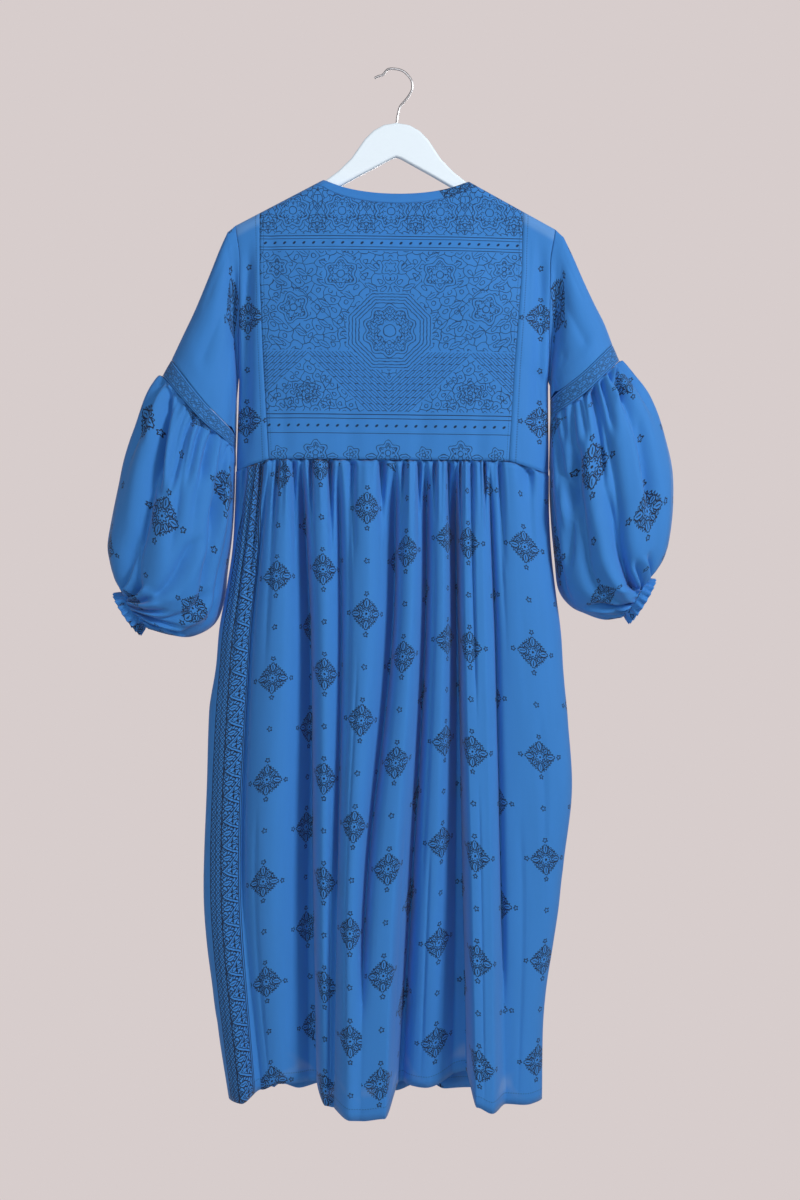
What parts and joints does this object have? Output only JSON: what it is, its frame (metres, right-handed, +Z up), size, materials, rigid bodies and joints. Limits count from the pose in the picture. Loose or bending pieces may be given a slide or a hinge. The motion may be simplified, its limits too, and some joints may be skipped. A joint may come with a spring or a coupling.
{
  "type": "maxi dress on a hanger",
  "caption": "Long kaftan dress of thin blue crepe, gathered skirt and balloon sleeves, hung on a flat wooden hanger with a wire hook.",
  "frame": {"origin": "inside of the hook's top, where the rail carries it", "axes": "+Z up along the hanging dress, -Y towards the side with the printed yoke, +X to the right in that view"},
  "size_m": [0.7618, 0.1364, 1.4014],
  "materials": {
    "blue_crepe": "matte thin crepe",
    "blue_crepe_print": "matte thin crepe, printed",
    "blue_border_print": "matte thin crepe, dense border print",
    "white_wood": "smooth white paint",
    "hook_wire": "bright wire"
  },
  "bodies": {
    "root": {"back_side_left": "blue_crepe", "back_side_right": "blue_crepe", "front_yoke": "blue_crepe", "front_side_left": "blue_crepe", "front_side_right": "blue_crepe", "upper_sleeve_left": "blue_crepe", "upper_sleeve_right": "blue_crepe", "cuff_left": "blue_crepe", "cuff_right": "blue_crepe", "back_yoke": "blue_crepe_print", "balloon_left": "blue_crepe_print", "balloon_right": "blue_crepe_print", "skirt_back": "blue_crepe_print", "skirt_front": "blue_crepe_print", "neck_band": "blue_border_print", "sleeve_band_left": "blue_border_print", "sleeve_band_right": "blue_border_print", "hanger_body": "white_wood", "hanger_hook": "hook_wire"}
  },
  "joints": []
}
